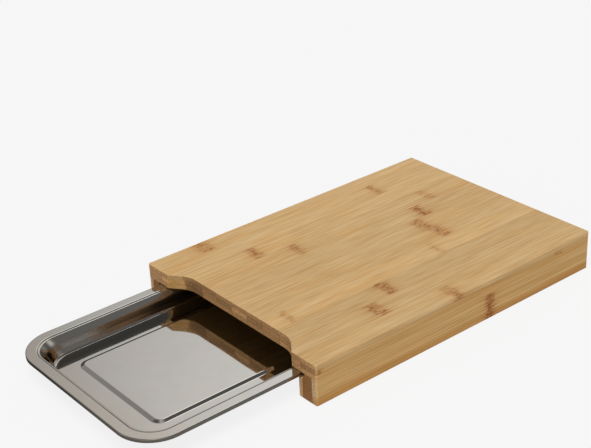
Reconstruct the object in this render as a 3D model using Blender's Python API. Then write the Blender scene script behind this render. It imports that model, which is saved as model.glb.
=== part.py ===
"""Bread board with a pull-out crumb tray.

A board of laminated bamboo stands on three rails glued under its edges. A tray pressed
from one steel sheet hangs by its rim in rebates along the two side rails, and slides
out at the front, under a finger scoop.

Metres, +Z up. The front, where the tray comes out, faces -Y, and the bamboo's grain
runs along Y. The origin lies on the resting plane, in the middle of the whole part as
it stands here, with the tray drawn out by DRAWN_OUT.
"""
from math import cos, pi, sin, tan

import bmesh
import bpy
from mathutils import Matrix, Vector

# Board
BOARD_WIDTH = 0.250
BOARD_LENGTH = 0.352
STRIP_WIDTH = 0.023
PLY_THICKNESS = 0.0046
MIDDLE_PLY_SHIFT = 0.0012
BOTTOM_PLY_SHIFT = 0.0022
GLUE_GAP = 0.0003
CORNER_ROUND = 0.0018
EDGE_EASE = 0.0008

# Finger scoop in the board's front edge
SCOOP_MOUTH_WIDTH = 0.186
SCOOP_BOTTOM_WIDTH = 0.1515
SCOOP_DEPTH = 0.0137
SCOOP_ROUND = 0.028

# Rails under the board, each of an inner strip, a core and an outer strip
RAIL_HEIGHT = 0.0262
INNER_STRIP_THICKNESS = 0.0044
CORE_THICKNESS = 0.0120
OUTER_STRIP_THICKNESS = 0.0060
REBATE_WIDTH = 0.0074
REBATE_DEPTH = 0.0055

# Crumb tray, and its play in the board
SHEET_THICKNESS = 0.0007
DRAWN_OUT = 0.1627
CLOSED_SETBACK = 0.0025
CLOSED_REAR_PLAY = 0.0005
RIM_SIDE_PLAY = 0.0039
RIM_TOP_PLAY = 0.0005
RIM_SEAT_GAP = 0.0003
RIM_WIDTH = 0.0098
RIM_CORNER_ROUND = 0.036
RIM_EDGE_ROUND = 0.0015
RIM_BEND_ROUND = 0.0020
WALL_RUN = 0.0100
WELL_DEPTH = 0.0180
FLOOR_BEND_ROUND = 0.0040
PANEL_MARGIN = 0.0405
PANEL_SLOPE = 0.0025
PANEL_RISE = 0.0020
PANEL_BEND_ROUND = 0.0020
PANEL_CORNER_ROUND = 0.0070

# How finely the rounds are cut
EDGE_SEGMENTS = 2
CORNER_SEGMENTS = 3
SCOOP_SEGMENTS = 6
BEND_SEGMENTS = 3
TRAY_CORNER_SEGMENTS = 8

# Finishes: colour as the eye sees it, roughness, and whether it is a metal
BAMBOO_FACE = ("C5A372", 0.55, 0.0)
BAMBOO_PLY = ("A98556", 0.60, 0.0)
BAMBOO_RAIL = ("AE8858", 0.60, 0.0)
BAMBOO_CORE = ("8A6642", 0.65, 0.0)
PRESSED_STEEL = ("B2AEAA", 0.30, 1.0)
STRIP_TONE_SHARES = (1.02, 1.00, 0.99, 0.98, 0.99, 0.97, 0.98, 1.04, 0.97, 1.01, 1.02)

# Worked out from the sizes above; the board's own frame starts at its front edge
rail_thickness = INNER_STRIP_THICKNESS + CORE_THICKNESS + OUTER_STRIP_THICKNESS + 2 * GLUE_GAP
board_underside = RAIL_HEIGHT + GLUE_GAP
bay_half_width = BOARD_WIDTH / 2 - rail_thickness
bay_length = BOARD_LENGTH - rail_thickness
ledge_level = RAIL_HEIGHT - REBATE_DEPTH
rim_level = board_underside - RIM_TOP_PLAY
lip_height = rim_level - ledge_level - RIM_SEAT_GAP
tray_width = 2 * (bay_half_width + REBATE_WIDTH - RIM_SIDE_PLAY)
tray_length = bay_length - CLOSED_SETBACK - CLOSED_REAR_PLAY
board_front = DRAWN_OUT - (BOARD_LENGTH + DRAWN_OUT) / 2


def clear_scene():
    """Remove every object that the open file holds."""
    for old in list(bpy.data.objects):
        bpy.data.objects.remove(old, do_unlink=True)


def linear_colour(hex_colour, tone):
    """Turn a colour as seen on a screen into the linear values a shader takes."""
    channels = [int(hex_colour[i:i + 2], 16) / 255 for i in (0, 2, 4)]
    linear = [c / 12.92 if c <= 0.04045 else ((c + 0.055) / 1.055) ** 2.4 for c in channels]
    return [min(c * tone, 1.0) for c in linear] + [1.0]


def finish(piece, look, tone=1.0):
    """Give a piece its own material."""
    hex_colour, roughness, metallic = look
    material = bpy.data.materials.new(piece.name)
    material.use_nodes = True
    shader = material.node_tree.nodes["Principled BSDF"]
    shader.inputs["Base Color"].default_value = linear_colour(hex_colour, tone)
    shader.inputs["Roughness"].default_value = roughness
    shader.inputs["Metallic"].default_value = metallic
    piece.data.materials.append(material)


def new_piece(name, bm, parent, location):
    """Make a named object of a bmesh and place it in its parent's frame."""
    bmesh.ops.recalc_face_normals(bm, faces=bm.faces)
    mesh = bpy.data.meshes.new(name)
    bm.to_mesh(mesh)
    bm.free()
    piece = bpy.data.objects.new(name, mesh)
    bpy.context.collection.objects.link(piece)
    piece.parent = parent
    piece.location = location
    return piece


def new_frame(name, location):
    """Make an empty that a group of pieces hangs on."""
    empty = bpy.data.objects.new(name, None)
    bpy.context.collection.objects.link(empty)
    empty.location = location
    return empty


def rounded_path(corners, segments):
    """Join corners (u, v, radius) by straight lines, each inner corner cut by its arc.

    An arc is tangent to both lines, and reaches at most half way along them.
    """
    path = [Vector(corners[0][:2])]
    for before, corner, after in zip(corners, corners[1:], corners[2:]):
        point = Vector(corner[:2])
        back = Vector(before[:2]) - point
        ahead = Vector(after[:2]) - point
        half_angle = back.angle(ahead) / 2
        reach = min(corner[2] / tan(half_angle), back.length / 2, ahead.length / 2)
        radius = reach * tan(half_angle)
        start = point + back.normalized() * reach
        centre = point + (back.normalized() + ahead.normalized()).normalized() * radius / sin(half_angle)
        turn = back.angle_signed(ahead)
        sweep = (pi - abs(turn)) * (1 if turn > 0 else -1)
        for i in range(segments + 1):
            spin = Matrix.Rotation(sweep * i / segments, 2)
            path.append(centre + spin @ (start - centre))
    path.append(Vector(corners[-1][:2]))
    return path


def extrusion(outline, start, end, axis):
    """Extrude a closed outline of (u, v) points along one axis, between two stations."""
    order = {"X": lambda u, v, w: (w, u, v), "Y": lambda u, v, w: (u, w, v), "Z": lambda u, v, w: (u, v, w)}
    bm = bmesh.new()
    ring = [bm.verts.new(order[axis](u, v, start)) for u, v in outline]
    face = bm.faces.new(ring)
    grown = bmesh.ops.extrude_face_region(bm, geom=[face])["geom"]
    corners = [item for item in grown if isinstance(item, bmesh.types.BMVert)]
    bmesh.ops.translate(bm, verts=corners, vec=order[axis](0, 0, end - start))
    return bm


def lies_on(edge, axis, station):
    """Say whether an edge lies in the plane across an axis at a station."""
    return all(abs(vert.co[axis] - station) < GLUE_GAP / 10 for vert in edge.verts)


def bevel(bm, edges, size, segments):
    """Round the given edges to a quarter circle."""
    bmesh.ops.bevel(bm, geom=edges, offset=size, segments=segments, affect="EDGES", profile=0.5)


def ease(bm, level, glued):
    """Ease the edges at one level, apart from those that lie in a glued face.

    glued holds (axis, station) pairs, in the piece's own frame.
    """
    edges = []
    for edge in bm.edges:
        if lies_on(edge, 2, level) and not any(lies_on(edge, *plane) for plane in glued):
            edges.append(edge)
    bevel(bm, edges, EDGE_EASE, EDGE_SEGMENTS)


def round_corners(bm, side):
    """Round the upright edges where the board's long side at x = side meets its ends."""
    edges = []
    for edge in bm.edges:
        upright = abs(edge.verts[0].co.z - edge.verts[1].co.z) > GLUE_GAP
        at_end = lies_on(edge, 1, 0) or lies_on(edge, 1, BOARD_LENGTH)
        if upright and at_end and lies_on(edge, 0, side):
            edges.append(edge)
    bevel(bm, edges, CORNER_ROUND, CORNER_SEGMENTS)


def scoop_path():
    """The board's front edge from left to right, with the scoop's sloping, rounded ends."""
    half_mouth = SCOOP_MOUTH_WIDTH / 2
    half_bottom = SCOOP_BOTTOM_WIDTH / 2
    scoop = rounded_path([(-half_mouth, 0, 0), (-half_bottom, SCOOP_DEPTH, SCOOP_ROUND),
                          (half_bottom, SCOOP_DEPTH, SCOOP_ROUND), (half_mouth, 0, 0)], SCOOP_SEGMENTS)
    return [Vector((-BOARD_WIDTH / 2, 0))] + scoop + [Vector((BOARD_WIDTH / 2, 0))]


def depth_at(path, x):
    """How far the front edge lies behind the board's front face at x."""
    for a, b in zip(path, path[1:]):
        if a.x <= x <= b.x:
            return a.y + (b.y - a.y) * (x - a.x) / (b.x - a.x)
    return 0


def strip_joints(shift):
    """x of a ply's left edge, of each joint between its strips, and of its right edge."""
    count = max(3, round(BOARD_WIDTH / STRIP_WIDTH))
    inner = [(i - count / 2) * STRIP_WIDTH + shift for i in range(1, count)]
    return [-BOARD_WIDTH / 2] + inner + [BOARD_WIDTH / 2]


def make_ply(ply, plies_below, shift, look, board):
    """Lay one ply of bamboo strips edge to edge, cut at the front by the scoop."""
    bottom = board_underside + plies_below * (PLY_THICKNESS + GLUE_GAP)
    path = scoop_path()
    joints = strip_joints(shift)
    for i, (left, right) in enumerate(zip(joints, joints[1:])):
        is_left_end = i == 0
        is_right_end = i == len(joints) - 2
        x0 = left if is_left_end else left + GLUE_GAP / 2
        x1 = right if is_right_end else right - GLUE_GAP / 2
        middle = (x0 + x1) / 2
        front = [(x0, depth_at(path, x0))]
        front += [(p.x, p.y) for p in path if x0 + GLUE_GAP < p.x < x1 - GLUE_GAP]
        front += [(x1, depth_at(path, x1))]
        outline = [(x - middle, y) for x, y in front + [(x1, BOARD_LENGTH), (x0, BOARD_LENGTH)]]
        bm = extrusion(outline, 0, PLY_THICKNESS, "Z")
        glued = []
        if is_left_end:
            round_corners(bm, x0 - middle)
        else:
            glued.append((0, x0 - middle))
        if is_right_end:
            round_corners(bm, x1 - middle)
        else:
            glued.append((0, x1 - middle))
        if ply == "top":
            ease(bm, PLY_THICKNESS, glued)
        strip = new_piece(f"{ply}_strip_{i + 1:02d}", bm, board, (middle, 0, bottom))
        finish(strip, look, STRIP_TONE_SHARES[i % len(STRIP_TONE_SHARES)])


def make_side_rail(name, side, board):
    """Glue up one side rail; side is -1 on the left and 1 on the right."""
    outer_face = BOARD_WIDTH / 2
    outer_joint = outer_face - OUTER_STRIP_THICKNESS
    core_face = outer_joint - GLUE_GAP
    inner_joint = core_face - CORE_THICKNESS
    strip_face = inner_joint - GLUE_GAP
    rebate_side = bay_half_width + REBATE_WIDTH

    outer = extrusion([(side * x, z) for x, z in ((outer_joint, 0), (outer_face, 0),
                      (outer_face, RAIL_HEIGHT), (outer_joint, RAIL_HEIGHT))], 0, BOARD_LENGTH, "Y")
    round_corners(outer, side * outer_face)
    ease(outer, 0, [(0, side * outer_joint)])
    finish(new_piece(f"{name}_rail_outer_strip", outer, board, (0, 0, 0)), BAMBOO_RAIL)

    core = extrusion([(side * x, z) for x, z in ((inner_joint, 0), (core_face, 0), (core_face, RAIL_HEIGHT),
                     (rebate_side, RAIL_HEIGHT), (rebate_side, ledge_level), (inner_joint, ledge_level))],
                     0, BOARD_LENGTH, "Y")
    ease(core, 0, [(0, side * inner_joint), (0, side * core_face)])
    finish(new_piece(f"{name}_rail_core", core, board, (0, 0, 0)), BAMBOO_CORE)

    inner = extrusion([(side * x, z) for x, z in ((bay_half_width, 0), (strip_face, 0),
                      (strip_face, ledge_level), (bay_half_width, ledge_level))], 0, BOARD_LENGTH, "Y")
    ease(inner, 0, [(0, side * strip_face)])
    finish(new_piece(f"{name}_rail_inner_strip", inner, board, (0, 0, 0)), BAMBOO_RAIL)


def make_rear_rail(board):
    """Glue up the rail that closes the back, between the two side rails."""
    reach = bay_half_width - GLUE_GAP
    layers = (("inner_strip", INNER_STRIP_THICKNESS, BAMBOO_RAIL), ("core", CORE_THICKNESS, BAMBOO_CORE),
              ("outer_strip", OUTER_STRIP_THICKNESS, BAMBOO_RAIL))
    y = bay_length
    for layer, thickness, look in layers:
        outline = ((y, 0), (y + thickness, 0), (y + thickness, RAIL_HEIGHT), (y, RAIL_HEIGHT))
        bm = extrusion(outline, -reach, reach, "X")
        joints = [station for station in (y, y + thickness) if bay_length < station < BOARD_LENGTH - GLUE_GAP]
        ease(bm, 0, [(0, -reach), (0, reach)] + [(1, station) for station in joints])
        finish(new_piece(f"rear_rail_{layer}", bm, board, (0, 0, 0)), look)
        y += thickness + GLUE_GAP


def tray_loop(inset, level):
    """A rounded rectangle inside the rim's outline, at an inset and a height."""
    x = tray_width / 2 - inset
    near = inset
    far = tray_length - inset
    radius = max(RIM_CORNER_ROUND - inset, PANEL_CORNER_ROUND)
    centres = ((x - radius, near + radius, -pi / 2), (x - radius, far - radius, 0),
               (radius - x, far - radius, pi / 2), (radius - x, near + radius, pi))
    points = []
    for cx, cy, start in centres:
        for i in range(TRAY_CORNER_SEGMENTS + 1):
            angle = start + pi / 2 * i / TRAY_CORNER_SEGMENTS
            points.append((cx + radius * cos(angle), cy + radius * sin(angle), level))
    return points


def tray_profile():
    """The pressed sheet's upper side as (inset, height), from the lip to the raised panel."""
    wall_foot = RIM_WIDTH + WALL_RUN
    panel_top = PANEL_MARGIN + PANEL_SLOPE
    panel_level = PANEL_RISE - WELL_DEPTH
    rim = [(0, -lip_height, 0), (0, 0, RIM_EDGE_ROUND), (RIM_WIDTH, 0, RIM_BEND_ROUND)]
    well = [(wall_foot, -WELL_DEPTH, FLOOR_BEND_ROUND), (PANEL_MARGIN, -WELL_DEPTH, PANEL_BEND_ROUND)]
    panel = [(panel_top, panel_level, PANEL_BEND_ROUND), (panel_top + PANEL_SLOPE, panel_level, 0)]
    return rounded_path(rim + well + panel, BEND_SEGMENTS)


def make_tray(slide):
    """Press the tray: rim with a turned-down lip, sloping walls, floor and raised panel."""
    bm = bmesh.new()
    loops = [[bm.verts.new(point) for point in tray_loop(inset, level)] for inset, level in tray_profile()]
    for outer, inner in zip(loops, loops[1:]):
        for i, vert in enumerate(outer):
            j = (i + 1) % len(outer)
            bm.faces.new((vert, outer[j], inner[j], inner[i]))
    bm.faces.new(loops[-1])
    tray = new_piece("crumb_tray", bm, slide, (0, 0, 0))
    sheet = tray.modifiers.new("sheet thickness", "SOLIDIFY")
    sheet.thickness = SHEET_THICKNESS
    sheet.offset = -1
    sheet.use_even_offset = True
    tray.data.shade_smooth()
    finish(tray, PRESSED_STEEL)


def main():
    clear_scene()
    board = new_frame("board_frame", (0, board_front, 0))
    make_ply("bottom", 0, BOTTOM_PLY_SHIFT, BAMBOO_PLY, board)
    make_ply("middle", 1, MIDDLE_PLY_SHIFT, BAMBOO_PLY, board)
    make_ply("top", 2, 0, BAMBOO_FACE, board)
    make_side_rail("left", -1, board)
    make_side_rail("right", 1, board)
    make_rear_rail(board)
    slide = new_frame("tray_slide", (0, board_front - DRAWN_OUT, rim_level))
    make_tray(slide)
    bpy.context.view_layer.update()


main()
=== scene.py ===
# %% [markdown]
# # Bread board with a pull-out crumb tray
#
# A cutting board of laminated bamboo stands on three rails, and a tray pressed from one
# steel sheet slides in at the front, to catch what a bread knife drops over the scoop.
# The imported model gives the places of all 43 pieces. This file dresses them: each strip of
# bamboo and the tray get a finer mesh, worked out with numpy, and a material made of nodes.

import bpy
import numpy as np
from mathutils import Matrix, Vector


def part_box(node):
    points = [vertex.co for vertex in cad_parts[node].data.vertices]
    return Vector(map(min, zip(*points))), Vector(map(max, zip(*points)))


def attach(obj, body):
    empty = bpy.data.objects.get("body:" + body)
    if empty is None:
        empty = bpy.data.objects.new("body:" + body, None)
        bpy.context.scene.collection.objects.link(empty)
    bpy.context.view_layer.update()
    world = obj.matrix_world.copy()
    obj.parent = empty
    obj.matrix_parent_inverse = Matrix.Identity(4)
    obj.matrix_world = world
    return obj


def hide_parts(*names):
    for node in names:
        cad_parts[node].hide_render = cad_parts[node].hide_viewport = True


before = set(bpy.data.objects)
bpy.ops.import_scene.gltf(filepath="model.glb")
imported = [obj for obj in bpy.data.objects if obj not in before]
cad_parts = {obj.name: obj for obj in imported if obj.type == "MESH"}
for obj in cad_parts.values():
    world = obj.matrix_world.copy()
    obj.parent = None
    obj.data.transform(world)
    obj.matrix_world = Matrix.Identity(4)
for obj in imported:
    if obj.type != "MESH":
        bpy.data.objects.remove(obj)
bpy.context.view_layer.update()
MM = 0.001


def in_mm(*lengths):
    """Lengths in metres as rounded millimetres, to be printed."""
    return [round(float(length) / MM, 2) for length in lengths]


print("pieces:", len(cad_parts))

# %% [markdown]
# ## Sizes
#
# Every place comes from the boxes of the CAD nodes. The CAD leaves 0.3 mm of air for the
# glue on each joint. A sanded board shows no such gap, so here two neighbours meet half way
# across it, and the glue becomes a faint dark line in the material.

# %% Places, read from the CAD nodes
ACROSS, ALONG, UP = range(3)
PLIES = ("bottom", "middle", "top")
STRIP_COUNT = sum(name.startswith("top_strip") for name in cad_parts)


def span(node, axis):
    """Where a CAD node begins and ends along an axis."""
    low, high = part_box(node)
    return low[axis], high[axis]


def joints_of(nodes, axis):
    """Where a row of CAD nodes begins, where each two neighbours meet, and where it ends.

    Two neighbours meet half way between the end of the one and the start of the other.
    """
    inner = [(span(a, axis)[1] + span(b, axis)[0]) / 2 for a, b in zip(nodes, nodes[1:])]
    return [span(nodes[0], axis)[0], *inner, span(nodes[-1], axis)[1]]


def strips_of(ply):
    """Names of a ply's strips, from left to right."""
    return [f"{ply}_strip_{i:02d}" for i in range(1, STRIP_COUNT + 1)]


board_half = span("right_rail_outer_strip", ACROSS)[1]
board_front, board_back = span("right_rail_outer_strip", ALONG)
stack = ["right_rail_outer_strip", *(strips_of(ply)[0] for ply in PLIES)]
ply_levels = joints_of(stack, UP)[1:]
print("ply levels, mm:", in_mm(*ply_levels))
print("top joints, mm:", in_mm(*joints_of(strips_of("top"), ACROSS)))

# %% [markdown]
# ## From points to objects
#
# Every mesh here is a list of points and a list of faces, worked out beforehand. It could
# be built step by step with Blender's own mesh tools, but a list is quicker, and each of its
# sizes stays a named number. Wood that is sawn and planed has crisp edges between flats, so
# its shading is smooth only where the surface really turns slowly.

# %% Objects and pieces of wood
SHARP_ANGLE = np.radians(40)


def add_object(name, data):
    """Link an object at the origin to the scene, to show a mesh, a lamp or a camera."""
    shown = bpy.data.objects.new(name, data)
    bpy.context.scene.collection.objects.link(shown)
    return shown


def new_piece(name, points, faces, material, sharp_past=None):
    """Put points and faces into a smooth mesh, whose edges past an angle may stay sharp."""
    mesh = bpy.data.meshes.new(name)
    mesh.from_pydata(points.tolist(), [], faces)
    mesh.shade_smooth()
    if sharp_past is not None:
        mesh.set_sharp_from_angle(angle=sharp_past)
    mesh.materials.append(material)
    return add_object(name, mesh)


def keep_flats_flat(piece):
    """Take the normals from the larger faces, so that rounds don't bend the flats' shading."""
    weighted = piece.modifiers.new("weighted normals", "WEIGHTED_NORMAL")
    weighted.mode = "FACE_AREA"
    weighted.keep_sharp = True


def wood_piece(node, block, look):
    """A block of wood that takes the place of a CAD node of the board."""
    piece = new_piece(f"bamboo_{node}", *block, look, SHARP_ANGLE)
    keep_flats_flat(piece)
    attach(piece, "board")
    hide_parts(node)
    return piece


# %% [markdown]
# ## The mesh of a block of wood
#
# A strip is a block whose top and underside are height fields over the same grid: one
# parameter runs across the strip and one along its grain. Four walls join their borders.
# A bevel modifier could ease the edges, but it would also ease the glued ones. Here the
# height itself drops near an outer edge, by the height of a quarter circle.

# %% A block between two height fields
def quads(a, b, c, d):
    """Four arrays of point numbers become rows of four."""
    return np.stack([a, b, c, d], -1).reshape(-1, 4)


def closed_block(x, y, low, high):
    """Points and faces of the solid between two height fields.

    Grid point (i, j) lies at (x_i, y_ij), at height low_ij in the underside and high_ij in
    the top. The border runs once round the grid, and carries the walls.
    """
    x = np.broadcast_to(x[:, None], y.shape)
    points = np.concatenate([np.stack([x, y, z], -1).reshape(-1, 3) for z in (low, high)])
    below = np.arange(y.size).reshape(y.shape)
    above = below + y.size
    top = quads(above[:-1, :-1], above[1:, :-1], above[1:, 1:], above[:-1, 1:])
    underside = quads(below[:-1, :-1], below[:-1, 1:], below[1:, 1:], below[1:, :-1])
    border = np.concatenate([below[:-1, 0], below[-1, :-1], below[:0:-1, -1], below[0, :0:-1]])
    ahead = np.roll(border, -1)
    walls = quads(border, ahead, ahead + y.size, border + y.size)
    return points, np.concatenate([top, underside, walls]).tolist()


# %% [markdown]
# ## The board's outline
#
# Seen from above the board is a rectangle with slightly rounded corners, and a shallow scoop
# in its front edge, where a finger finds the tray's rim. The cutter's path could be a curve
# object. As a function of x it serves three times: it cuts the strips' ends back, it finds
# the places where the grid needs a line, and it tells how near the edge a point lies.

# %% Scoop and corners
CORNER_ROUND = 1.8 * MM
SCOOP_HALF_MOUTH = 93 * MM
SCOOP_HALF_BOTTOM = 75.75 * MM
SCOOP_DEPTH = 13.7 * MM
SCOOP_ROUND = 28 * MM

scoop_slope = SCOOP_DEPTH / (SCOOP_HALF_MOUTH - SCOOP_HALF_BOTTOM)
scoop_reach = SCOOP_ROUND * np.tan(np.arctan(scoop_slope) / 2)
scoop_flat = SCOOP_HALF_BOTTOM - scoop_reach
scoop_turn = SCOOP_HALF_BOTTOM + scoop_reach * np.cos(np.arctan(scoop_slope))
print("scoop's arc, mm from the middle:", in_mm(scoop_flat, scoop_turn))


def scoop_depth(x):
    """How far the scoop cuts back at x: a flat bottom, then an arc, then a straight slope.

    The arc is a circle of SCOOP_ROUND, tangent to the bottom and to the slope.
    """
    x = np.abs(x)
    drop = np.sqrt(np.maximum(SCOOP_ROUND ** 2 - (x - scoop_flat) ** 2, 0))
    slope = (SCOOP_HALF_MOUTH - x) * scoop_slope
    return np.select([x <= scoop_flat, x <= scoop_turn, x < SCOOP_HALF_MOUTH],
                     [SCOOP_DEPTH, SCOOP_DEPTH - SCOOP_ROUND + drop, slope], 0.0)


def corner_depth(x):
    """How far the rounded upright corner cuts back at x, as a quarter circle."""
    past = np.maximum(np.abs(x) - (board_half - CORNER_ROUND), 0)
    return CORNER_ROUND - np.sqrt(np.maximum(CORNER_ROUND ** 2 - past ** 2, 0))


# %% [markdown]
# ## Eased edges
#
# The finished board is sanded, and that eases its outer edges by less than a millimetre. The
# eye needs this round: it catches a thin line of light. Its height depends only on how far
# inside the outline a point lies, so two distances are worked out, and the smaller one counts.

# %% Distances from the edge, and the round
EDGE_EASE = 0.8 * MM
TINY = 0.01 * MM        # points closer than this count as one


def inside_outline(x, y):
    """How far a point lies inside the board's outline, a rectangle with rounded corners.

    With a and b the distances past the corner's centre, across and along, it is the
    radius less hypot(a, b), both taken as 0 or more, less the larger of a and b where
    both are negative.
    """
    a = np.abs(x) - (board_half - CORNER_ROUND)
    b = np.maximum(board_front + CORNER_ROUND - y, y - (board_back - CORNER_ROUND))
    past = np.hypot(np.maximum(a, 0), np.maximum(b, 0))
    return CORNER_ROUND - past - np.minimum(np.maximum(a, b), 0)


def inside_scoop(x, y):
    """How far a point lies behind the scoop's edge: the distance along y, made square to it."""
    slope = (scoop_depth(x + TINY) - scoop_depth(x - TINY)) / (2 * TINY)
    return (y - board_front - scoop_depth(x)) / np.hypot(1, slope)


def eased(inside):
    """How far the surface drops at a distance inside an eased edge, as a quarter circle."""
    near = np.clip(EDGE_EASE - inside, 0, EDGE_EASE)
    return EDGE_EASE - np.sqrt(np.maximum(EDGE_EASE ** 2 - near ** 2, 0))


# %% [markdown]
# ## The grid of a block
#
# A grid line costs faces, so lines stand close together only where the surface bends: in the
# rounds of edges and corners, and where the scoop's line changes. In a round they stand at
# equal angles, so that each facet turns the surface by the same amount.

# %% Grid lines across and along
QUARTER = np.radians(90)
ROUND_STEPS = 6
STEP_ACROSS = 2.5 * MM
STEPS_ALONG = 12
PAST_ROUND = 1.6        # the next line past a round, as a share of the round's width
round_shares = 1 - np.sin(np.linspace(QUARTER, 0, ROUND_STEPS + 1))
print("lines of a round, as shares of it:", round_shares.round(3).tolist())


def stations_across(x0, x1):
    """x of a block's grid lines: even steps, and all bends of the outline that lie between."""
    x = np.linspace(x0, x1, max(int(round((x1 - x0) / STEP_ACROSS)), 1) + 1)
    outer = board_half - CORNER_ROUND * round_shares
    bends = np.array([scoop_flat, scoop_turn, SCOOP_HALF_MOUTH])
    extra = np.concatenate([outer, -outer, bends, -bends])
    x = np.sort(np.concatenate([x, extra[(extra > x0) & (extra < x1)]]))
    return x[np.concatenate([[True], np.diff(x) > TINY])]


def stations_along(front, back):
    """y of a block's grid lines: those of the eased ends, with even steps between them."""
    near = EDGE_EASE * np.concatenate([round_shares, [PAST_ROUND]])
    inner = np.linspace(0, 1, STEPS_ALONG + 1)[None, 1:-1]
    start = front[:, None] + near
    end = back[:, None] - near[::-1]
    middle = start[:, -1:] * (1 - inner) + end[:, :1] * inner
    return np.concatenate([start, middle, end], 1)


# %% [markdown]
# ## Materials
#
# Each material is a small graph of shader nodes. It could be wired by hand in the editor,
# but written down it can be read and repeated. One helper adds a node, sets it up and links
# it. Colours are written as they look on a screen, as sRGB hex, and one function turns them
# into the linear values that a shader takes.

# %% Colours
def linear(hex_colour, shade=1.0):
    """Linear red, green and blue of an sRGB hex colour, each times a shade."""
    channels = np.array([int(hex_colour[i:i + 2], 16) for i in (0, 2, 4)]) / 255
    curved = ((channels + 0.055) / 1.055) ** 2.4
    values = np.where(channels <= 0.04045, channels / 12.92, curved)
    return (*np.clip(values * shade, 0, 1), 1.0)


def times(colour, share):
    """A colour with its red, green and blue each times a share of their own."""
    return (*(np.array(colour[:3]) * share), 1.0)


print("mid grey 808080, linear:", round(float(linear("808080")[0]), 3))

# %% Nodes
MIX_A, MIX_B = 6, 7      # the sockets of a Mix node that take colours
BLEND = {"data_type": "RGBA"}
TINT = {"data_type": "RGBA", "blend_type": "MULTIPLY"}
SMOOTH = {"interpolation_type": "SMOOTHSTEP"}


def add_node(tree, kind, sockets=None, **settings):
    """Add a shader node with its settings and links.

    A socket takes a constant, an output of another node, or a node, which stands for the
    first of its outputs that is in use.
    """
    node = tree.nodes.new("ShaderNode" + kind)
    for key, value in settings.items():
        setattr(node, key, value)
    for key, value in (sockets or {}).items():
        if isinstance(value, bpy.types.Node):
            value = next(output for output in value.outputs if output.enabled)
        if isinstance(value, bpy.types.NodeSocket):
            tree.links.new(value, node.inputs[key])
        else:
            node.inputs[key].default_value = value
    return node


def new_material(name):
    """A new material and its tree of nodes, still empty."""
    material = bpy.data.materials.new(name)
    material.use_nodes = True
    material.node_tree.nodes.clear()
    return material, material.node_tree


# %% [markdown]
# ## Bamboo
#
# The board is laminated bamboo: culms are split, planed flat, steamed and glued into plies.
# Its vascular bundles are straight, hair-thin dark lines along the grain, and dots on the
# cut ends. The board is sanded and lightly oiled, so it is nearly matt with a faint sheen.
#
# An image of bamboo would be the quick way, but a scene of its own needs none: noise that is
# stretched along the grain gives lines on the faces and dots on the ends of the same solid
# block. Each strip is cut from another stretch of the noise, as each came from another culm.

# %% Grain
# Each noise: size of its cells in mm across and along the grain, detail, and its own place
FIBRE = (1.2, 70, 3.0, 0)
STREAK = (3.8, 85, 2.0, 9)
CLOUD = (20, 130, 1.0, 17)
WARMTH = (7, 60, 2.0, 5)
HAIR = (0.8, 26, 2.0, 41)       # the real bundles are 0.4 mm wide, drawn wider to show
LINE_SHARES = (0.44, 0.32, 0.24)        # of fibre, streak and cloud in the tone of a line
GRAIN_SEED = 7
FARTHEST = 50           # how far a strip may be shifted in the noise, in cells
grain_places = np.random.default_rng(GRAIN_SEED)


def grain_noise(tree, place, along, cells, shift):
    """Noise with cells of a size across the grain and a size along it, in millimetres."""
    width, length, detail, apart = cells
    stretch = [1 / (width * MM)] * 3
    stretch[along] = 1 / (length * MM)
    moved = add_node(tree, "Mapping", {"Vector": place, "Location": shift + apart,
                                       "Scale": stretch})
    return add_node(tree, "TexNoise", {"Vector": moved, "Scale": 1.0, "Detail": detail})


# %% [markdown]
# ## The colour of the face
#
# Along the grain, bamboo runs from a straw colour to a warm tan. A colour ramp could give
# that, but a tint keeps the hue of each strip: the strip's own colour is made darker or
# paler with the lines, redder in a few warm stretches, and crossed by the hair lines last.

# %% Tints along the grain
DARK_GRAIN, PALE_GRAIN = (0.92, 0.85, 0.74), (1.06, 1.12, 1.26)      # times the face's colour
WARM_TINT = (1.0, 0.88, 0.66, 1.0)
WARM_STRETCHES = {"From Min": 0.55, "From Max": 0.75, "To Max": 0.7}
DARK_HAIR, PALE_HAIR = (0.85, 0.80, 0.72, 1.0), (1.15, 1.20, 1.28, 1.0)
HAIR_RANGE = {"From Min": 0.3, "From Max": 0.7}


def face_colour(tree, face, spread, lines, warmth, hair):
    """The face's colour times a tint, which runs from dark to pale as the lines' noise does.

    spread is half the range of that noise over which the tint runs.
    """
    tone = add_node(tree, "MapRange", {"Value": lines, "From Min": 0.5 - spread,
                                       "From Max": 0.5 + spread})
    colour = add_node(tree, "Mix", {0: tone, MIX_A: times(face, DARK_GRAIN),
                                    MIX_B: times(face, PALE_GRAIN)}, **BLEND)
    warmth = add_node(tree, "MapRange", {"Value": warmth, **WARM_STRETCHES})
    colour = add_node(tree, "Mix", {0: warmth, MIX_A: colour, MIX_B: WARM_TINT}, **TINT)
    hair = add_node(tree, "MapRange", {"Value": hair, **HAIR_RANGE})
    hair = add_node(tree, "Mix", {0: hair, MIX_A: DARK_HAIR, MIX_B: PALE_HAIR}, **BLEND)
    return add_node(tree, "VectorMath", {0: colour, 1: hair}, operation="MULTIPLY")


# %% [markdown]
# ## Knuckles
#
# Every 25 to 40 cm a culm has a knuckle, where the bundles knot together: a brown, speckled
# band across one strip, with a warm halo that fades along the grain. It could be painted as
# a mask. Here it is a distance: the farther a point lies from the knuckle's place along the
# strip, the less it is tinted, and noise moves each fibre's end a little.

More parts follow.
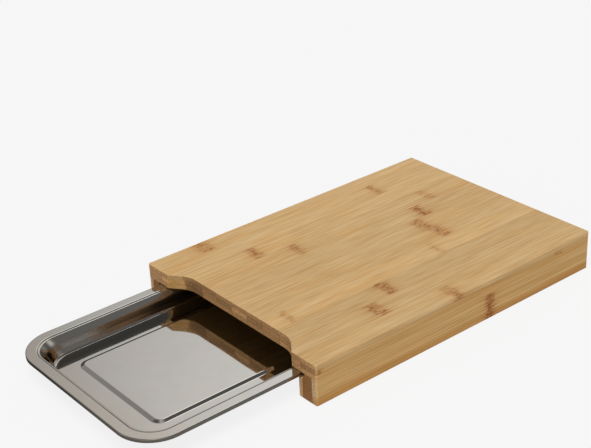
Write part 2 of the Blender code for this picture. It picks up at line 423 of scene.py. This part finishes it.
# %% Knuckles
SPECKLE = (2.0, 3.4, 3.0, 31)
BLOTCH = (6, 8, 1.0, 37)
RAGGED = (2.6, 16, 2.0, 23)
SPECKLE_RANGE = {"From Min": 0.38, "From Max": 0.58, "To Min": 0.35, "To Max": 1.45}
BLOTCH_RANGE = {"From Min": 0.34, "From Max": 0.58, "To Min": 0.35}
FLARE_RANGE = {"From Min": 0.62, "From Max": 0.38, "To Min": 0.2}
RAGGEDNESS = 10 * MM    # by how much the noise moves a fibre's end, half of it on average
HALO_TINT, HALO_REACH = (0.88, 0.72, 0.53, 1.0), (0.2, 2.8)      # reach in half widths
KNUCKLE_TINT, KNUCKLE_REACH = (0.56, 0.34, 0.17, 1.0), (0.1, 1.25)


def add_knuckles(tree, colour, knuckles, place, along, shift, fibre):
    """Tint a colour by knuckles, each given by its place along y, half width and strength.

    The tint's strength falls smoothly with |y - place|, from the near to the far end of the
    reach. y has noise added first, so each fibre ends at its own place.
    """
    y = add_node(tree, "SeparateXYZ", {0: place}).outputs["Y"]
    ragged = grain_noise(tree, place, along, RAGGED, shift)
    y = add_node(tree, "Math", {0: ragged, 1: RAGGEDNESS, 2: y}, operation="MULTIPLY_ADD")
    speckle = grain_noise(tree, place, along, SPECKLE, shift)
    speckle = add_node(tree, "MapRange", {"Value": speckle, **SPECKLE_RANGE})
    blotch = grain_noise(tree, place, along, BLOTCH, shift)
    blotch = add_node(tree, "MapRange", {"Value": blotch, **BLOTCH_RANGE})
    speckle = add_node(tree, "Math", {0: speckle, 1: blotch}, operation="MULTIPLY")
    flare = add_node(tree, "MapRange", {"Value": fibre, **FLARE_RANGE})
    for at, half, strength in knuckles:
        away = add_node(tree, "Math", {0: y, 1: at + RAGGEDNESS / 2}, operation="SUBTRACT")
        away = add_node(tree, "Math", {0: away}, operation="ABSOLUTE")
        for tint, grain, (near, far) in ((HALO_TINT, flare, HALO_REACH),
                                         (KNUCKLE_TINT, speckle, KNUCKLE_REACH)):
            mask = add_node(tree, "MapRange", {"Value": away, "From Min": near * half,
                                               "From Max": far * half, "To Min": strength,
                                               "To Max": 0.0}, **SMOOTH)
            mask = add_node(tree, "Math", {0: mask, 1: grain}, operation="MULTIPLY")
            colour = add_node(tree, "Mix", {0: mask, MIX_A: colour, MIX_B: tint}, **TINT)
    return colour


# %% [markdown]
# ## Cut ends
#
# Sawn across, the bundles show as dark dots, and the end looks darker than the face, because
# the open pores drink the oil. A second material on the end faces would do. The same one
# serves here: the surface's direction tells whether it cuts the grain, and the noise, which
# is fine across the grain, gives dots there by itself.

# %% End grain
DARK_DOTS, PALE_DOTS = (0.70, 0.66, 0.60), (1.28, 1.32, 1.38)        # times the end's colour
DOT_RANGE = {"From Min": 0.34, "From Max": 0.66}
CUT_RANGE = {"From Min": 0.74, "From Max": 0.98}        # of the normal's part along the grain


def end_grain(tree, normal, along, fibre, end):
    """How squarely the surface cuts the grain, from 0 to 1, and the colour that it has there."""
    cut = add_node(tree, "SeparateXYZ", {0: normal}).outputs[along]
    cut = add_node(tree, "Math", {0: cut}, operation="ABSOLUTE")
    cut = add_node(tree, "MapRange", {"Value": cut, **CUT_RANGE}, **SMOOTH)
    dots = add_node(tree, "MapRange", {"Value": fibre, **DOT_RANGE})
    dots = add_node(tree, "Mix", {0: dots, MIX_A: times(end, DARK_DOTS),
                                  MIX_B: times(end, PALE_DOTS)}, **BLEND)
    return cut, dots


# %% [markdown]
# ## The foot of the rails, and the glue
#
# On the long sides, the lowest few millimetres of the wood are darker and warmer, with a
# ragged upper end. And each glued joint is a fine dark line. Both could be thin pieces of
# their own, but they have no thickness, so they are tints that depend on place.

# %% Foot and glue
FOOT_HEIGHT = (1 * MM, 6 * MM)          # where the tint is whole, and where it ends
FOOT_RAGGED = 8 * MM                    # what the noise adds to both, at most
GLUE_LINE = 0.5 * MM
GLUE_TINT = (0.72, 0.56, 0.38, 1.0)


def add_foot(tree, colour, place, streak, tint):
    """Tint a colour near the floor, by the height less a share of the streaks' noise."""
    height = add_node(tree, "SeparateXYZ", {0: place}).outputs["Z"]
    height = add_node(tree, "Math", {0: streak, 1: -FOOT_RAGGED, 2: height},
                      operation="MULTIPLY_ADD")
    low = add_node(tree, "MapRange", {"Value": height, "From Min": FOOT_HEIGHT[0],
                                      "From Max": FOOT_HEIGHT[1], "To Min": 1.0,
                                      "To Max": 0.0}, **SMOOTH)
    return add_node(tree, "Mix", {0: low, MIX_A: colour, MIX_B: tint}, **TINT)


def add_glue(tree, colour, place, glued, seen):
    """Tint a colour by the glue lines round the sides of a box.

    Nearness to the glued sides is the larger of |x| and |z|, counted from the box's middle,
    each less half the box's size.
    """
    low, high = np.array(glued[0]), np.array(glued[1])
    centred = add_node(tree, "Mapping", {"Vector": place, "Location": -(low + high) / 2})
    outwards = add_node(tree, "VectorMath", {0: centred}, operation="ABSOLUTE")
    outwards = add_node(tree, "VectorMath", {0: outwards, 1: (high - low) / 2},
                        operation="SUBTRACT")
    sides = add_node(tree, "SeparateXYZ", {0: outwards}).outputs
    nearest = add_node(tree, "Math", {0: sides["X"], 1: sides["Z"]}, operation="MAXIMUM")
    mask = add_node(tree, "MapRange", {"Value": nearest, "From Min": -GLUE_LINE,
                                       "From Max": 0.0}, **SMOOTH)
    mask = add_node(tree, "Math", {0: mask, 1: seen}, operation="MULTIPLY")
    return add_node(tree, "Mix", {0: mask, MIX_A: colour, MIX_B: GLUE_TINT}, **TINT)


# %% [markdown]
# ## Bamboo, put together
#
# Faces and narrow edges of the same culm look different: on a face the lines are long and
# soft and the glue hardly shows, on an edge they are longer still and stronger, and so is
# the glue. Two settings of one material say so. The dark lines are a little rougher than
# the pale grain between them, and lie about a hundredth of a millimetre lower.

# %% Bamboo material
# Length of the lines as a share, half the noise's range that the tones span, weakest glue
FACE_LINES, EDGE_LINES = (1.4, 0.145, 0.08), (3.0, 0.09, 0.60)
GLUE_PATCHES = {"From Min": 0.46, "From Max": 0.60}
SANDED = {"To Min": 0.62, "To Max": 0.46}       # roughness of dark and of pale grain
GRAIN_DEPTH, GRAIN_RELIEF = 0.06 * MM, 0.25
WOOD_IOR, OIL_SHEEN = 1.5, 0.3          # index of refraction, and how strong the sheen is


def bamboo(name, face, end, glued, along=ALONG, knuckles=(), foot=None, shown=FACE_LINES):
    """Bamboo of one strip, from its colours along the grain and on the cut ends.

    glued is the box whose sides are glue joints; a side that lies free is put far away.
    knuckles are (y, half width, strength), and foot is the tint of its lowest part.
    """
    material, tree = new_material(name)
    coordinates = add_node(tree, "TexCoord").outputs
    place = coordinates["Object"]
    shift = grain_places.uniform(-FARTHEST, FARTHEST, 3)
    length, spread, least_glue = shown
    stretch = np.ones(3)
    stretch[along] = 1 / length
    long_place = add_node(tree, "Mapping", {"Vector": place, "Scale": stretch})
    fibre, streak, cloud, warmth, hair = [grain_noise(tree, long_place, along, cells, shift)
                                          for cells in (FIBRE, STREAK, CLOUD, WARMTH, HAIR)]
    lines = 0.0
    for noise, share in zip((fibre, streak, cloud), LINE_SHARES):
        lines = add_node(tree, "Math", {0: noise, 1: share, 2: lines},
                         operation="MULTIPLY_ADD")

    colour = face_colour(tree, face, spread, lines, warmth, hair)
    if knuckles:
        colour = add_knuckles(tree, colour, knuckles, place, along, shift, fibre)
    cut, dots = end_grain(tree, coordinates["Normal"], along, fibre, end)
    colour = add_node(tree, "Mix", {0: cut, MIX_A: colour, MIX_B: dots}, **BLEND)
    if foot:
        colour = add_foot(tree, colour, place, streak, foot)
    seen = add_node(tree, "MapRange", {"Value": cloud, "To Min": least_glue, **GLUE_PATCHES})
    seen = add_node(tree, "Math", {0: seen, 1: cut}, operation="MAXIMUM")
    colour = add_glue(tree, colour, place, glued, seen)

    roughness = add_node(tree, "MapRange", {"Value": lines, **SANDED})
    bump = add_node(tree, "Bump", {"Height": fibre, "Strength": GRAIN_RELIEF,
                                   "Distance": GRAIN_DEPTH})
    shader = add_node(tree, "BsdfPrincipled", {"Base Color": colour, "Roughness": roughness,
                                               "Normal": bump, "IOR": WOOD_IOR,
                                               "Specular IOR Level": OIL_SHEEN})
    add_node(tree, "OutputMaterial", {"Surface": shader})
    return material


# %% [markdown]
# ## The three plies of the board
#
# Each ply is eleven strips, 23 mm wide, glued edge to edge. The joints of the plies are
# staggered by a millimetre or so. The scoop in the front edge is cut through all three, and
# only there and at the ends does the end grain show. The top's outer edges are eased.
#
# One board with painted joints would be simpler. Separate strips are how the real one is
# made, and each has its own colour, its own ends and its own knuckles.

# %% Colours and knuckles of the strips
FACE, PLY_FACE, END = "C6A370", "C69D61", "B58A5C"
FACE_SHADES = (1.03, 1.02, 1.02, 0.99, 0.96, 0.98, 0.99, 1.05, 0.93, 0.96, 1.00)
# The cut ends differ from block to block, as each came from another culm
END_SHADES = {("top", 3): 0.77, ("top", 4): 0.82, ("top", 9): 1.15, ("top", 10): 0.83,
              ("middle", 2): 1.5, ("middle", 3): 0.61, ("middle", 4): 0.88,
              ("middle", 5): 0.75, ("middle", 6): 1.35, ("middle", 7): 0.80,
              ("middle", 11): 0.67, ("bottom", 2): 1.12, ("bottom", 3): 0.58,
              ("bottom", 9): 1.28}
# Ply, strip, distance from the board's front and half width in mm, strength
KNUCKLES = (("top", 1, 58, 10, 0.75), ("top", 2, 266, 6, 0.6), ("top", 3, 87, 7.5, 0.8),
            ("top", 4, 122, 7, 0.6), ("top", 4, 296, 6, 0.5), ("top", 5, 266, 8, 0.95),
            ("top", 6, 245, 9, 0.75), ("top", 7, 249, 8, 0.75), ("top", 8, 34, 5, 0.35),
            ("top", 8, 220, 4, 0.3), ("top", 9, 132.5, 7, 0.95), ("top", 10, 100, 9, 0.85),
            ("top", 11, 171, 7, 0.75), ("middle", 11, 4, 7, 0.6),
            ("middle", 11, 307, 6, 0.45))
print("knuckles:", len(KNUCKLES))

# %% [markdown]
# ## A strip of a ply
#
# A strip is planed to a plain block before it is glued, and the scoop and the corners are
# cut when the board is whole. A boolean modifier could cut them. Here each grid line along
# the strip simply starts where the outline lies at its x, so no cut leaves odd faces.

# %% Block, glued sides and look of a strip
FREE = 20 * MM          # how far the glue of a side that lies free is moved away


def strip_block(ply, x0, x1):
    """Mesh of a strip between two joints, with the top's outer edges eased."""
    level = PLIES.index(ply)
    x = stations_across(x0, x1)
    y = stations_along(board_front + scoop_depth(x) + corner_depth(x),
                       board_back - corner_depth(x))
    low, high = [np.full_like(y, z) for z in ply_levels[level:level + 2]]
    if ply == "top":
        inside = np.minimum(inside_outline(x[:, None], y), inside_scoop(x[:, None], y))
        high -= eased(inside)
    return closed_block(x, y, low, high)


def strip_look(ply, number, x0, x1):
    """Bamboo for a strip, given by its number and the joints at its sides."""
    bottom, top = ply_levels[PLIES.index(ply):][:2]
    glued = ([x0 - FREE * (number == 1), 0, bottom - FREE * (ply == "bottom")],
             [x1 + FREE * (number == STRIP_COUNT), 0, top + FREE * (ply == "top")])
    marks = [(board_front + at * MM, half * MM, strength)
             for *which, at, half, strength in KNUCKLES if which == [ply, number]]
    face = linear(FACE if ply == "top" else PLY_FACE, FACE_SHADES[number - 1])
    end = linear(END, END_SHADES.get((ply, number), 1.0))
    return bamboo(f"bamboo {ply}_strip_{number:02d}", face, end, glued, knuckles=marks,
                  shown=FACE_LINES if ply == "top" else EDGE_LINES)


# %% Strips of the plies
for ply in PLIES:
    nodes = strips_of(ply)
    joints = joints_of(nodes, ACROSS)
    for i, (node, x0, x1) in enumerate(zip(nodes, joints, joints[1:])):
        strip = wood_piece(node, strip_block(ply, x0, x1), strip_look(ply, i + 1, x0, x1))
print("strips:", STRIP_COUNT * len(PLIES))

# %% [markdown]
# ## The rails
#
# Each side rail is three layers on edge: a thin inner strip, a dark core of strips pressed
# with their edges forward, and a pale outer strip that shows on the board's long side. The
# inner strip ends lower, and the core is cut away above it: that rebate carries the tray's
# rim. The step in the core needs two grid lines at one x, one low and one high, because a
# height field has only one height at each point.

# %% A layer of a rail
REBATE_WIDTH = 7.4 * MM
rail_top = ply_levels[0]
ledge = span("right_rail_inner_strip", UP)[1]
rebate_side = span("right_rail_inner_strip", ACROSS)[0] + REBATE_WIDTH
print("ledge and rebate's side at, mm:", in_mm(ledge, rebate_side))


def core_top(x):
    """The core's height: the ledge on the bay's side of the rebate, the full rail beyond it."""
    high = np.where(np.abs(x) > rebate_side, rail_top, ledge)
    at_step = np.flatnonzero(np.abs(np.abs(x) - rebate_side) < TINY / 10)
    high[at_step[-1] if x[0] > 0 else at_step[0]] = rail_top
    return high


def rail_block(x0, x1, y0, y1, top, rounded=False):
    """Mesh of a rail's layer, from the floor up to a height that may be a function of x."""
    x = stations_across(x0, x1)
    if callable(top):
        side = -rebate_side if x0 < 0 else rebate_side
        x = np.sort(np.concatenate([x[np.abs(x - side) > TINY], [side, side]]))
    corner = corner_depth(x) * rounded
    y = stations_along(y0 + corner, y1 - corner)
    high = np.broadcast_to(top(x)[:, None] if callable(top) else top, y.shape)
    return closed_block(x, y, eased(inside_outline(x[:, None], y)), high)


# %% [markdown]
# ## The side rails
#
# Left and right mirror each other, so one loop makes both, with a sign for the side. The
# right rail's outer strip has a strong knuckle. Only the outer strips show a long edge to
# the light, so only they take the strong lines of an edge and the dark foot.

# %% Side rails
RAIL_LAYERS = ("inner_strip", "core", "outer_strip")
RAIL_FACE, RAIL_FOOT = linear("C69D61"), (0.84, 0.72, 0.50, 1.0)
CORE_FACE, CORE_END = linear("8F6A44"), linear("8D6035")
LAYER_LOOKS = {"inner_strip": (RAIL_FACE, linear("C8A073")), "core": (CORE_FACE, CORE_END),
               "outer_strip": (RAIL_FACE, linear("BB9B78"))}
LAYER_TOPS = {"inner_strip": ledge, "core": core_top, "outer_strip": rail_top}
RAIL_KNUCKLE = (board_front + 212 * MM, 7 * MM, 1.0)

for side, facing in (("left", -1), ("right", 1)):
    layers = RAIL_LAYERS[::facing]
    nodes = [f"{side}_rail_{layer}" for layer in layers]
    edges = joints_of(nodes, ACROSS)
    for layer, node, x0, x1 in zip(layers, nodes, edges, edges[1:]):
        outer = layer == "outer_strip"
        free = {"outer_strip": facing, "inner_strip": -facing}.get(layer, 0)
        glued = ([x0 - FREE * (free < 0), 0, -FREE],
                 [x1 + FREE * (free > 0), 0, rail_top + FREE * (layer == "inner_strip")])
        look = bamboo(f"bamboo {node}", *LAYER_LOOKS[layer], glued,
                      knuckles=[RAIL_KNUCKLE] if node == "right_rail_outer_strip" else (),
                      foot=RAIL_FOOT if outer else None,
                      shown=EDGE_LINES if outer else FACE_LINES)
        block = rail_block(x0, x1, board_front, board_back, LAYER_TOPS[layer], outer)
        piece = wood_piece(node, block, look)
print("layers of the side rails:", 2 * len(RAIL_LAYERS))

# %% [markdown]
# ## The rear rail
#
# The rear rail closes the back of the bay between the side rails, and stops the tray. Its
# grain runs across, so the same material is used with another direction. The photograph
# doesn't show it, and its layers are taken from the side rails.

# %% Rear rail
nodes = [f"rear_rail_{layer}" for layer in RAIL_LAYERS]
edges = joints_of(nodes, ALONG)
rear_half = span("right_rail_inner_strip", ACROSS)[0]
for layer, node, y0, y1 in zip(RAIL_LAYERS, nodes, edges, edges[1:]):
    glued = ([-rear_half, 0, -FREE], [rear_half, 0, rail_top])
    look = bamboo(f"bamboo {node}", LAYER_LOOKS[layer][0], CORE_END, glued, along=ACROSS)
    piece = wood_piece(node, rail_block(-rear_half, rear_half, y0, y1, rail_top), look)
print("rear rail, mm:", in_mm(*edges))

# %% [markdown]
# ## The crumb tray
#
# The tray is pressed from one stainless sheet, 0.7 mm thick: a flat rim with a turned-down
# lip and a small step inside it, sloping walls, a floor, and a low raised panel. A stack of
# bevelled boxes could stand for it, but pressing draws the sheet along rounded rectangles,
# and the mesh does too. It starts from a profile from the lip to the panel, as inset and
# height, whose creases are rounded by arcs.

# %% Profile of the tray
BEND_STEPS = 10
# Inset from the tray's edge, height above the rim and bend radius of each crease, in mm
LIP_CREASES = ((0, -3.3, 0), (0, 0, 0.9))
STEP_CREASES = ((9.9, 0, 2.2), (11.2, -0.8, 1.2))
WALL_CREASES = ((12.4, -0.8, 1.6), (15.1, -6.0, 25), (17.3, -12.4, 30), (19.5, -18.2, 3.0))
PANEL_CREASES = ((41.5, -18.2, 3.0), (44.4, -16.5, 3.0), (50, -16.5, 0))


def filleted(corners):
    """Round each inner corner (u, v, radius) of a line by an arc tangent to both its sides.

    The arc's centre lies on the line that halves the corner, at the radius over the sine of
    half the corner's angle. It gets smaller where it would take more than half of a side.
    """
    points = [np.array([corners[0][:2]])]
    for before, corner, after in zip(corners, corners[1:], corners[2:]):
        at = np.array(corner[:2])
        back, on = np.array(before[:2]) - at, np.array(after[:2]) - at
        back_length, on_length = np.hypot(*back), np.hypot(*on)
        back, on = back / back_length, on / on_length
        half = np.arccos(np.clip(back @ on, -1, 1)) / 2
        reach = min(corner[2] / np.tan(half), back_length / 2, on_length / 2)
        radius = reach * np.tan(half)
        middle = (back + on) / np.hypot(*(back + on))
        side = (on - back) / np.hypot(*(on - back))
        centre = at + middle * radius / np.sin(half)
        turn = np.linspace(-1, 1, BEND_STEPS + 1)[:, None] * (QUARTER - half)
        points.append(centre + radius * (side * np.sin(turn) - middle * np.cos(turn)))
    points.append(np.array([corners[-1][:2]]))
    return np.concatenate(points)


profile = filleted([*LIP_CREASES, *STEP_CREASES, *WALL_CREASES, *PANEL_CREASES]) * MM
print("profile points:", len(profile), " deepest, mm:", in_mm(profile[:, 1].min()))

# %% [markdown]
# ## The tray's loops
#
# Each point of the profile is carried once round a rounded rectangle. The same offset at
# every corner would be simpler, but the corners' radius doesn't shrink evenly with the
# inset: it even grows a little at the foot of the wall. So it is read off a small table.
# The last loop is closed by one flat face, the panel.

# %% Sheet of the tray
CORNER_STEPS = 28
# Corner radius of the loops at an inset, in mm
CORNERS = ((0, 36), (12.1, 24), (20.2, 27), (41.5, 10.0), (44.4, 6.5), (50, 6.5))
corner_insets, corner_radii = np.array(CORNERS).T * MM
tray_low, tray_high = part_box("crumb_tray")
tray_half = tray_high[ACROSS]
rim_level = tray_high[UP]


def tray_sheet(profile):
    """The profile carried round rounded rectangles, one grid row for each of its points.

    A loop's corner radius is read off CORNERS, in straight lines between its rows. A point on
    a loop is the centre of its quarter plus that radius times (cos, sin) of the angle.
    """
    quarter = np.repeat(np.arange(4), CORNER_STEPS + 1)
    angle = np.tile(np.linspace(-QUARTER, 0, CORNER_STEPS + 1), 4) + quarter * QUARTER
    right = np.where((quarter == 0) | (quarter == 1), 1, -1)
    far = np.where((quarter == 1) | (quarter == 2), 1, -1)
    inset = profile[:, :1]
    radius = np.interp(inset, corner_insets, corner_radii)
    y_middle = (tray_low[ALONG] + tray_high[ALONG]) / 2
    y_half = (tray_high[ALONG] - tray_low[ALONG]) / 2
    x = right * (tray_half - inset - radius) + radius * np.cos(angle)
    y = y_middle + far * (y_half - inset - radius) + radius * np.sin(angle)
    z = np.broadcast_to(rim_level + profile[:, 1:], x.shape)
    index = np.arange(x.size).reshape(x.shape)
    ahead = np.roll(index, -1, 1)
    faces = quads(index[:-1], ahead[:-1], ahead[1:], index[1:])
    return np.stack([x, y, z], -1).reshape(-1, 3), faces.tolist() + [index[-1].tolist()]


# %% [markdown]
# ## Stainless steel
#
# The sheet is cold-rolled and bright annealed, then pressed: nearly a mirror, with a trace
# of haze and very shallow waves where the press has stretched it. The metal keeps Blender's
# default index of refraction, and its grey, slightly warm colour is its reflectance. A plain
# mirror would be simpler, but the eye misses the haze, the trace of heat tint and the smears.

# %% Steel
# Sizes of its patterns in mm: waves of the press, spots of haze, smears of handling
WAVE, SPOT, SMEAR = 45, 12, 22
WAVE_DEPTH, WAVE_RELIEF = 0.5 * MM, 0.3
HAZE_RANGE = {"From Min": 0.3, "From Max": 0.7, "To Min": 0.035, "To Max": 0.07}
# The steep walls are stretched most, and that roughens them: by the normal's upright part
DRAWN = {"From Min": 0.3, "From Max": 0.8, "To Min": 0.11, "To Max": 0.0}
GREY, PALE_GREY = "B4B2B0", "BBB9B6"
STRAW = (0.97, 0.92, 0.87, 1.0)         # a trace of heat tint along the front
STRAW_RANGE = {"From Min": -0.19, "From Max": -0.25}    # along y, in metres
ROSY, GREENISH = (1.01, 0.99, 0.975, 1.0), (0.98, 0.995, 0.98, 1.0)     # faint smears
SMEAR_RANGE = {"From Min": 0.35, "From Max": 0.65}

steel, tree = new_material("bright annealed stainless steel")
coordinates = add_node(tree, "TexCoord").outputs
place = coordinates["Object"]
waves, haze, smears = [
    add_node(tree, "TexNoise", {"Vector": place, "Scale": 1 / (size * MM), "Detail": detail})
    for size, detail in ((WAVE, 1.0), (SPOT, 4.0), (SMEAR, 2.0))]
upright = add_node(tree, "SeparateXYZ", {0: coordinates["Normal"]}).outputs["Z"]
drawn = add_node(tree, "MapRange", {"Value": upright, **DRAWN}, **SMOOTH)
roughness = add_node(tree, "MapRange", {"Value": haze, **HAZE_RANGE})
roughness = add_node(tree, "Math", {0: roughness, 1: drawn}, operation="ADD")
bump = add_node(tree, "Bump", {"Height": waves, "Strength": WAVE_RELIEF,
                               "Distance": WAVE_DEPTH})
print("roughness of the floor:", HAZE_RANGE["To Min"], "to", HAZE_RANGE["To Max"])

# %% Colour of the steel
tone = add_node(tree, "Mix", {0: haze, MIX_A: linear(GREY), MIX_B: linear(PALE_GREY)}, **BLEND)
forward = add_node(tree, "SeparateXYZ", {0: place}).outputs["Y"]
straw = add_node(tree, "MapRange", {"Value": forward, **STRAW_RANGE}, **SMOOTH)
tone = add_node(tree, "Mix", {0: straw, MIX_A: tone, MIX_B: STRAW}, **TINT)
smears = add_node(tree, "MapRange", {"Value": smears, **SMEAR_RANGE})
smears = add_node(tree, "Mix", {0: smears, MIX_A: ROSY, MIX_B: GREENISH}, **BLEND)
tone = add_node(tree, "VectorMath", {0: tone, 1: smears}, operation="MULTIPLY")
shader = add_node(tree, "BsdfPrincipled", {"Base Color": tone, "Roughness": roughness,
                                           "Normal": bump, "Metallic": 1.0})
add_node(tree, "OutputMaterial", {"Surface": shader})
print("nodes of the steel:", len(tree.nodes))

# %% [markdown]
# ## The tray as a piece
#
# The loops make a surface without thickness, the side of the sheet that is seen from above.
# The underside could be a second set of loops, but Solidify does just that: it moves a copy
# of the surface by the sheet's thickness, square to it, and closes the border under the lip.

# %% Tray
SHEET = 0.7 * MM
tray = new_piece("pressed_crumb_tray", *tray_sheet(profile), steel)
thickness = tray.modifiers.new("sheet thickness", "SOLIDIFY")
thickness.thickness = SHEET
thickness.offset = -1
thickness.use_even_offset = True
keep_flats_flat(tray)
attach(tray, "tray")
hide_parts("crumb_tray")
print("tray points:", len(tray.data.vertices), " rim at, mm:", in_mm(rim_level))

# %% [markdown]
# ## Floor
#
# A plain pale floor runs under the object. The camera sees it as a plain background with a
# soft shadow: mostly a surface that glows in that colour, and a little real paint. The steel
# sees it otherwise. The tray's lips look dark, so in a mirror the floor is a glowing dim warm
# grey, a painted reflection, with a painted shadow that makes it dimmer still towards the
# side that lies in the tray's own shadow.

# %% Floor
PALE = "F6F6F6"
FLOOR_HALF = 6.0
BARE = 0.92             # how much of the floor that the camera sees glows
# Painted reflection: the glowing dim warm grey that the steel mirrors in place of the floor
PAINTED_MIRROR_GREY = "86837F"
# Painted shadow: that grey grows dimmer towards -x, where the tray's own shadow lies
PAINTED_SHADOW_ALONG_X = {"From Min": -0.12, "From Max": 0.14, "To Min": 0.22, "To Max": 1.0}    # along x

paint, tree = new_material("pale floor")
rays = add_node(tree, "LightPath").outputs
direct = add_node(tree, "Math", {0: rays["Is Camera Ray"], 1: BARE}, operation="MULTIPLY")
matt = add_node(tree, "BsdfDiffuse", {"Color": linear(PALE)})
plain = add_node(tree, "Emission", {"Color": linear(PALE), "Strength": 1.0})
both = add_node(tree, "MixShader", {0: direct, 1: matt, 2: plain})
place = add_node(tree, "TexCoord").outputs["Object"]
sideways = add_node(tree, "SeparateXYZ", {0: place}).outputs["X"]
# Glossy rays see a glowing painted reflection, dimmed along x by a painted shadow
painted_shadow = add_node(tree, "MapRange", {"Value": sideways, **PAINTED_SHADOW_ALONG_X}, **SMOOTH)
painted_reflection = add_node(tree, "Emission", {"Color": linear(PAINTED_MIRROR_GREY), "Strength": painted_shadow})
both = add_node(tree, "MixShader", {0: rays["Is Glossy Ray"], 1: both, 2: painted_reflection})
add_node(tree, "OutputMaterial", {"Surface": both})

corners = np.array([(-1, -1, 0), (1, -1, 0), (1, 1, 0), (-1, 1, 0)]) * FLOOR_HALF
floor = new_piece("floor", corners, [[0, 1, 2, 3]], paint)
print("floor, m:", 2 * FLOOR_HALF)

# %% [markdown]
# ## Room
#
# Steel looks like what it mirrors, so a studio puts large soft panels where a tray should
# look light, and leaves the rest of the room dim. Lit panels could be objects, but the world
# can hold them as a formula of the direction alone: each adds its strength times a power of
# the cosine between the direction and its own. Five are placed for the lights and darks that
# the photograph shows. Seven more are seen only by mirrors: the ceiling, the front right,
# and five round the room, so that the tray is a steel grey from other sides too.

# %% Patches of light
ROOM = 0.105            # the dim level of the room
# Direction, sharpness and strength of a patch, which is strength x cosine ^ sharpness
PATCHES = (((-0.60, 0.54, 0.59), 21, 0.91), ((-0.74, -0.17, 0.65), 20, 0.25),
           ((-0.43, 0.44, 0.79), 130, 1.6), ((0.30, -0.27, 0.91), 60, 1.2),
           ((0.79, 0.55, 0.28), 12, 0.075))
SOFTBOXES = (((0, 0.05, 1), 45, 0.70), ((0.45, -0.80, 0.38), 6, 0.45),
             ((-0.15, 0.90, 0.42), 40, 0.45), ((-0.97, -0.10, 0.23), 30, 0.45),
             ((-0.45, -0.80, 0.40), 20, 0.45), ((0.52, 0.74, 0.42), 60, 0.60),
             ((0.93, -0.15, 0.33), 25, 0.45))
MIRROR_GAIN = 1.22      # how much brighter the steel sees the room than the wood is lit by it
print("patches of light:", len(PATCHES + SOFTBOXES))

# %% World
WARM_WHITE = "FFFDFA"
world = bpy.data.worlds.new("soft studio")
bpy.context.scene.world = world
world.use_nodes = True
tree = world.node_tree
tree.nodes.clear()
direction = add_node(tree, "TexCoord").outputs["Generated"]
rays = add_node(tree, "LightPath").outputs
mirrored = rays["Is Glossy Ray"]
level = ROOM
for seen, patches in ((1.0, PATCHES), (mirrored, SOFTBOXES)):
    for towards, sharpness, strength in patches:
        centre = np.array(towards) / np.linalg.norm(towards)
        cosine = add_node(tree, "VectorMath", {0: direction, 1: centre},
                          operation="DOT_PRODUCT").outputs["Value"]
        cosine = add_node(tree, "Math", {0: cosine, 1: 0.0}, operation="MAXIMUM")
        glow = add_node(tree, "Math", {0: cosine, 1: sharpness}, operation="POWER")
        glow = add_node(tree, "Math", {0: glow, 1: seen}, operation="MULTIPLY")
        level = add_node(tree, "Math", {0: glow, 1: strength, 2: level},
                         operation="MULTIPLY_ADD")
gain = add_node(tree, "Math", {0: mirrored, 1: MIRROR_GAIN - 1, 2: 1.0},
                operation="MULTIPLY_ADD")
level = add_node(tree, "Math", {0: level, 1: gain}, operation="MULTIPLY")
room = add_node(tree, "Background", {"Color": linear(WARM_WHITE), "Strength": level})
backdrop = add_node(tree, "Background", {"Color": linear(PALE), "Strength": 1.0})
mixed = add_node(tree, "MixShader", {0: rays["Is Camera Ray"], 1: room, 2: backdrop})
add_node(tree, "OutputWorld", {"Surface": mixed})
print("nodes of the world:", len(tree.nodes))

# %% [markdown]
# ## Lamps
#
# One broad soft lamp stands on the camera's side, high up, and a weak one fills in from the
# front, low down. Suns with a wide angle are used, not area lamps, because they light the
# floor evenly right out to its edge. The steel doesn't mirror them; it has the room's patches.

# %% Lamps
# Azimuth from the front towards the right, elevation, strength, and width of a lamp
LAMPS = {"broad lamp": (50, 66, 2.50, 36), "fill lamp": (2, 22, 0.60, 50)}


def direction_to(azimuth, elevation):
    """The unit vector (sin a cos e, -cos a cos e, sin e) from the object to a place round it."""
    flat = np.cos(elevation)
    return Vector((np.sin(azimuth) * flat, -np.cos(azimuth) * flat, np.sin(elevation)))


for name, (azimuth, elevation, strength, width) in LAMPS.items():
    sun = bpy.data.lights.new(name, "SUN")
    sun.energy = strength
    sun.angle = np.radians(width)
    lamp = add_object(name, sun)
    lamp.visible_glossy = False
    towards = direction_to(*np.radians([azimuth, elevation]))
    lamp.rotation_euler = towards.to_track_quat("Z", "Y").to_euler()
print("lamps:", ", ".join(LAMPS))

# %% [markdown]
# ## Camera
#
# A camera could be moved by hand until the picture fits. This one was solved instead: its
# place, its turn and its lens are those for which the board's straight edges fall on the
# photograph's. Three unit vectors say how it is turned: where right, up and back lie for it.

# %% Camera
CAMERA_PLACE = Vector((0.8547, -0.68385, 0.6511))
AZIMUTH, ELEVATION, ROLL = np.radians([51.74, 26.91, -2.81])
LENS, SENSOR = 81.2, 36.0
lens = bpy.data.cameras.new("camera")
lens.lens = LENS
lens.sensor_width = SENSOR
camera = add_object("camera", lens)
bpy.context.scene.camera = camera
back = direction_to(AZIMUTH, ELEVATION)
level_right = Vector((np.cos(AZIMUTH), np.sin(AZIMUTH), 0))
level_up = back.cross(level_right)
right = level_right * np.cos(ROLL) + level_up * np.sin(ROLL)
up = level_up * np.cos(ROLL) - level_right * np.sin(ROLL)
turned = Matrix((right, up, back)).transposed().to_4x4()
camera.matrix_world = Matrix.Translation(CAMERA_PLACE) @ turned
bpy.context.scene.view_settings.view_transform = "Standard"
print("camera, mm from the origin:", in_mm(CAMERA_PLACE.length))

# %% [markdown]
# ## The end
#
# The dressed pieces have to stay in the box of the imported ones, or the joints and mounts
# would no longer fit them. This last cell only brings the scene up to date.

# %% The end
bpy.context.view_layer.update()
